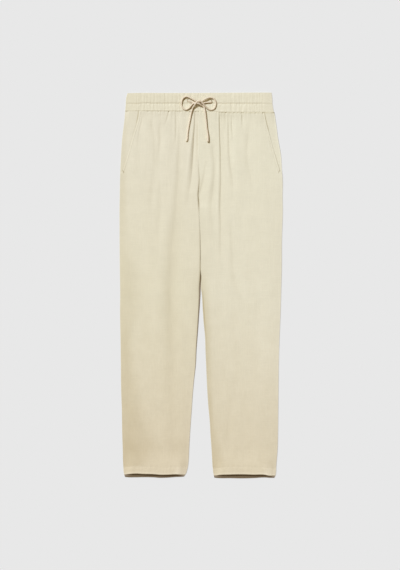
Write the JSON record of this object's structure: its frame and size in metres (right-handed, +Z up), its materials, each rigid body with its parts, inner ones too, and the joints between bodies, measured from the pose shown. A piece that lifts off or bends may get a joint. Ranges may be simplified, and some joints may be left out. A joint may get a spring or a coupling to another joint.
{
  "type": "linen drawstring trousers",
  "caption": "Pull-on linen trousers laid flat, front up, with an elastic waistband gathered over a bowed drawstring, soft pleats, slanted side pockets and straight hemmed legs.",
  "frame": {"origin": "on the table, under the middle of the laid-out garment", "axes": "+Z up from the table, +Y towards the waist, +X towards the wearer's left leg; metres"},
  "size_m": [0.4379, 1.0336, 0.0195],
  "materials": {
    "back_right": "woven linen, matte",
    "back_left": "woven linen, matte",
    "front_right": "woven linen, matte",
    "front_left": "woven linen, matte",
    "pocket_facing_right": "woven linen, matte",
    "pocket_facing_left": "woven linen, matte",
    "waistband_back": "woven linen, matte, gathered",
    "waistband_front": "woven linen, matte, gathered",
    "drawstring_knot": "round cotton cord",
    "drawstring_entry_right": "round cotton cord",
    "drawstring_entry_left": "round cotton cord",
    "drawstring_loop_right": "round cotton cord",
    "drawstring_loop_left": "round cotton cord",
    "drawstring_end_right": "round cotton cord",
    "drawstring_end_left": "round cotton cord"
  },
  "bodies": {
    "root": {"back_right": "back_right", "back_left": "back_left", "front_right": "front_right", "front_left": "front_left", "pocket_facing_right": "pocket_facing_right", "pocket_facing_left": "pocket_facing_left", "waistband_back": "waistband_back", "waistband_front": "waistband_front", "drawstring_knot": "drawstring_knot", "drawstring_entry_right": "drawstring_entry_right", "drawstring_entry_left": "drawstring_entry_left", "drawstring_loop_right": "drawstring_loop_right", "drawstring_loop_left": "drawstring_loop_left", "drawstring_end_right": "drawstring_end_right", "drawstring_end_left": "drawstring_end_left"}
  },
  "joints": []
}
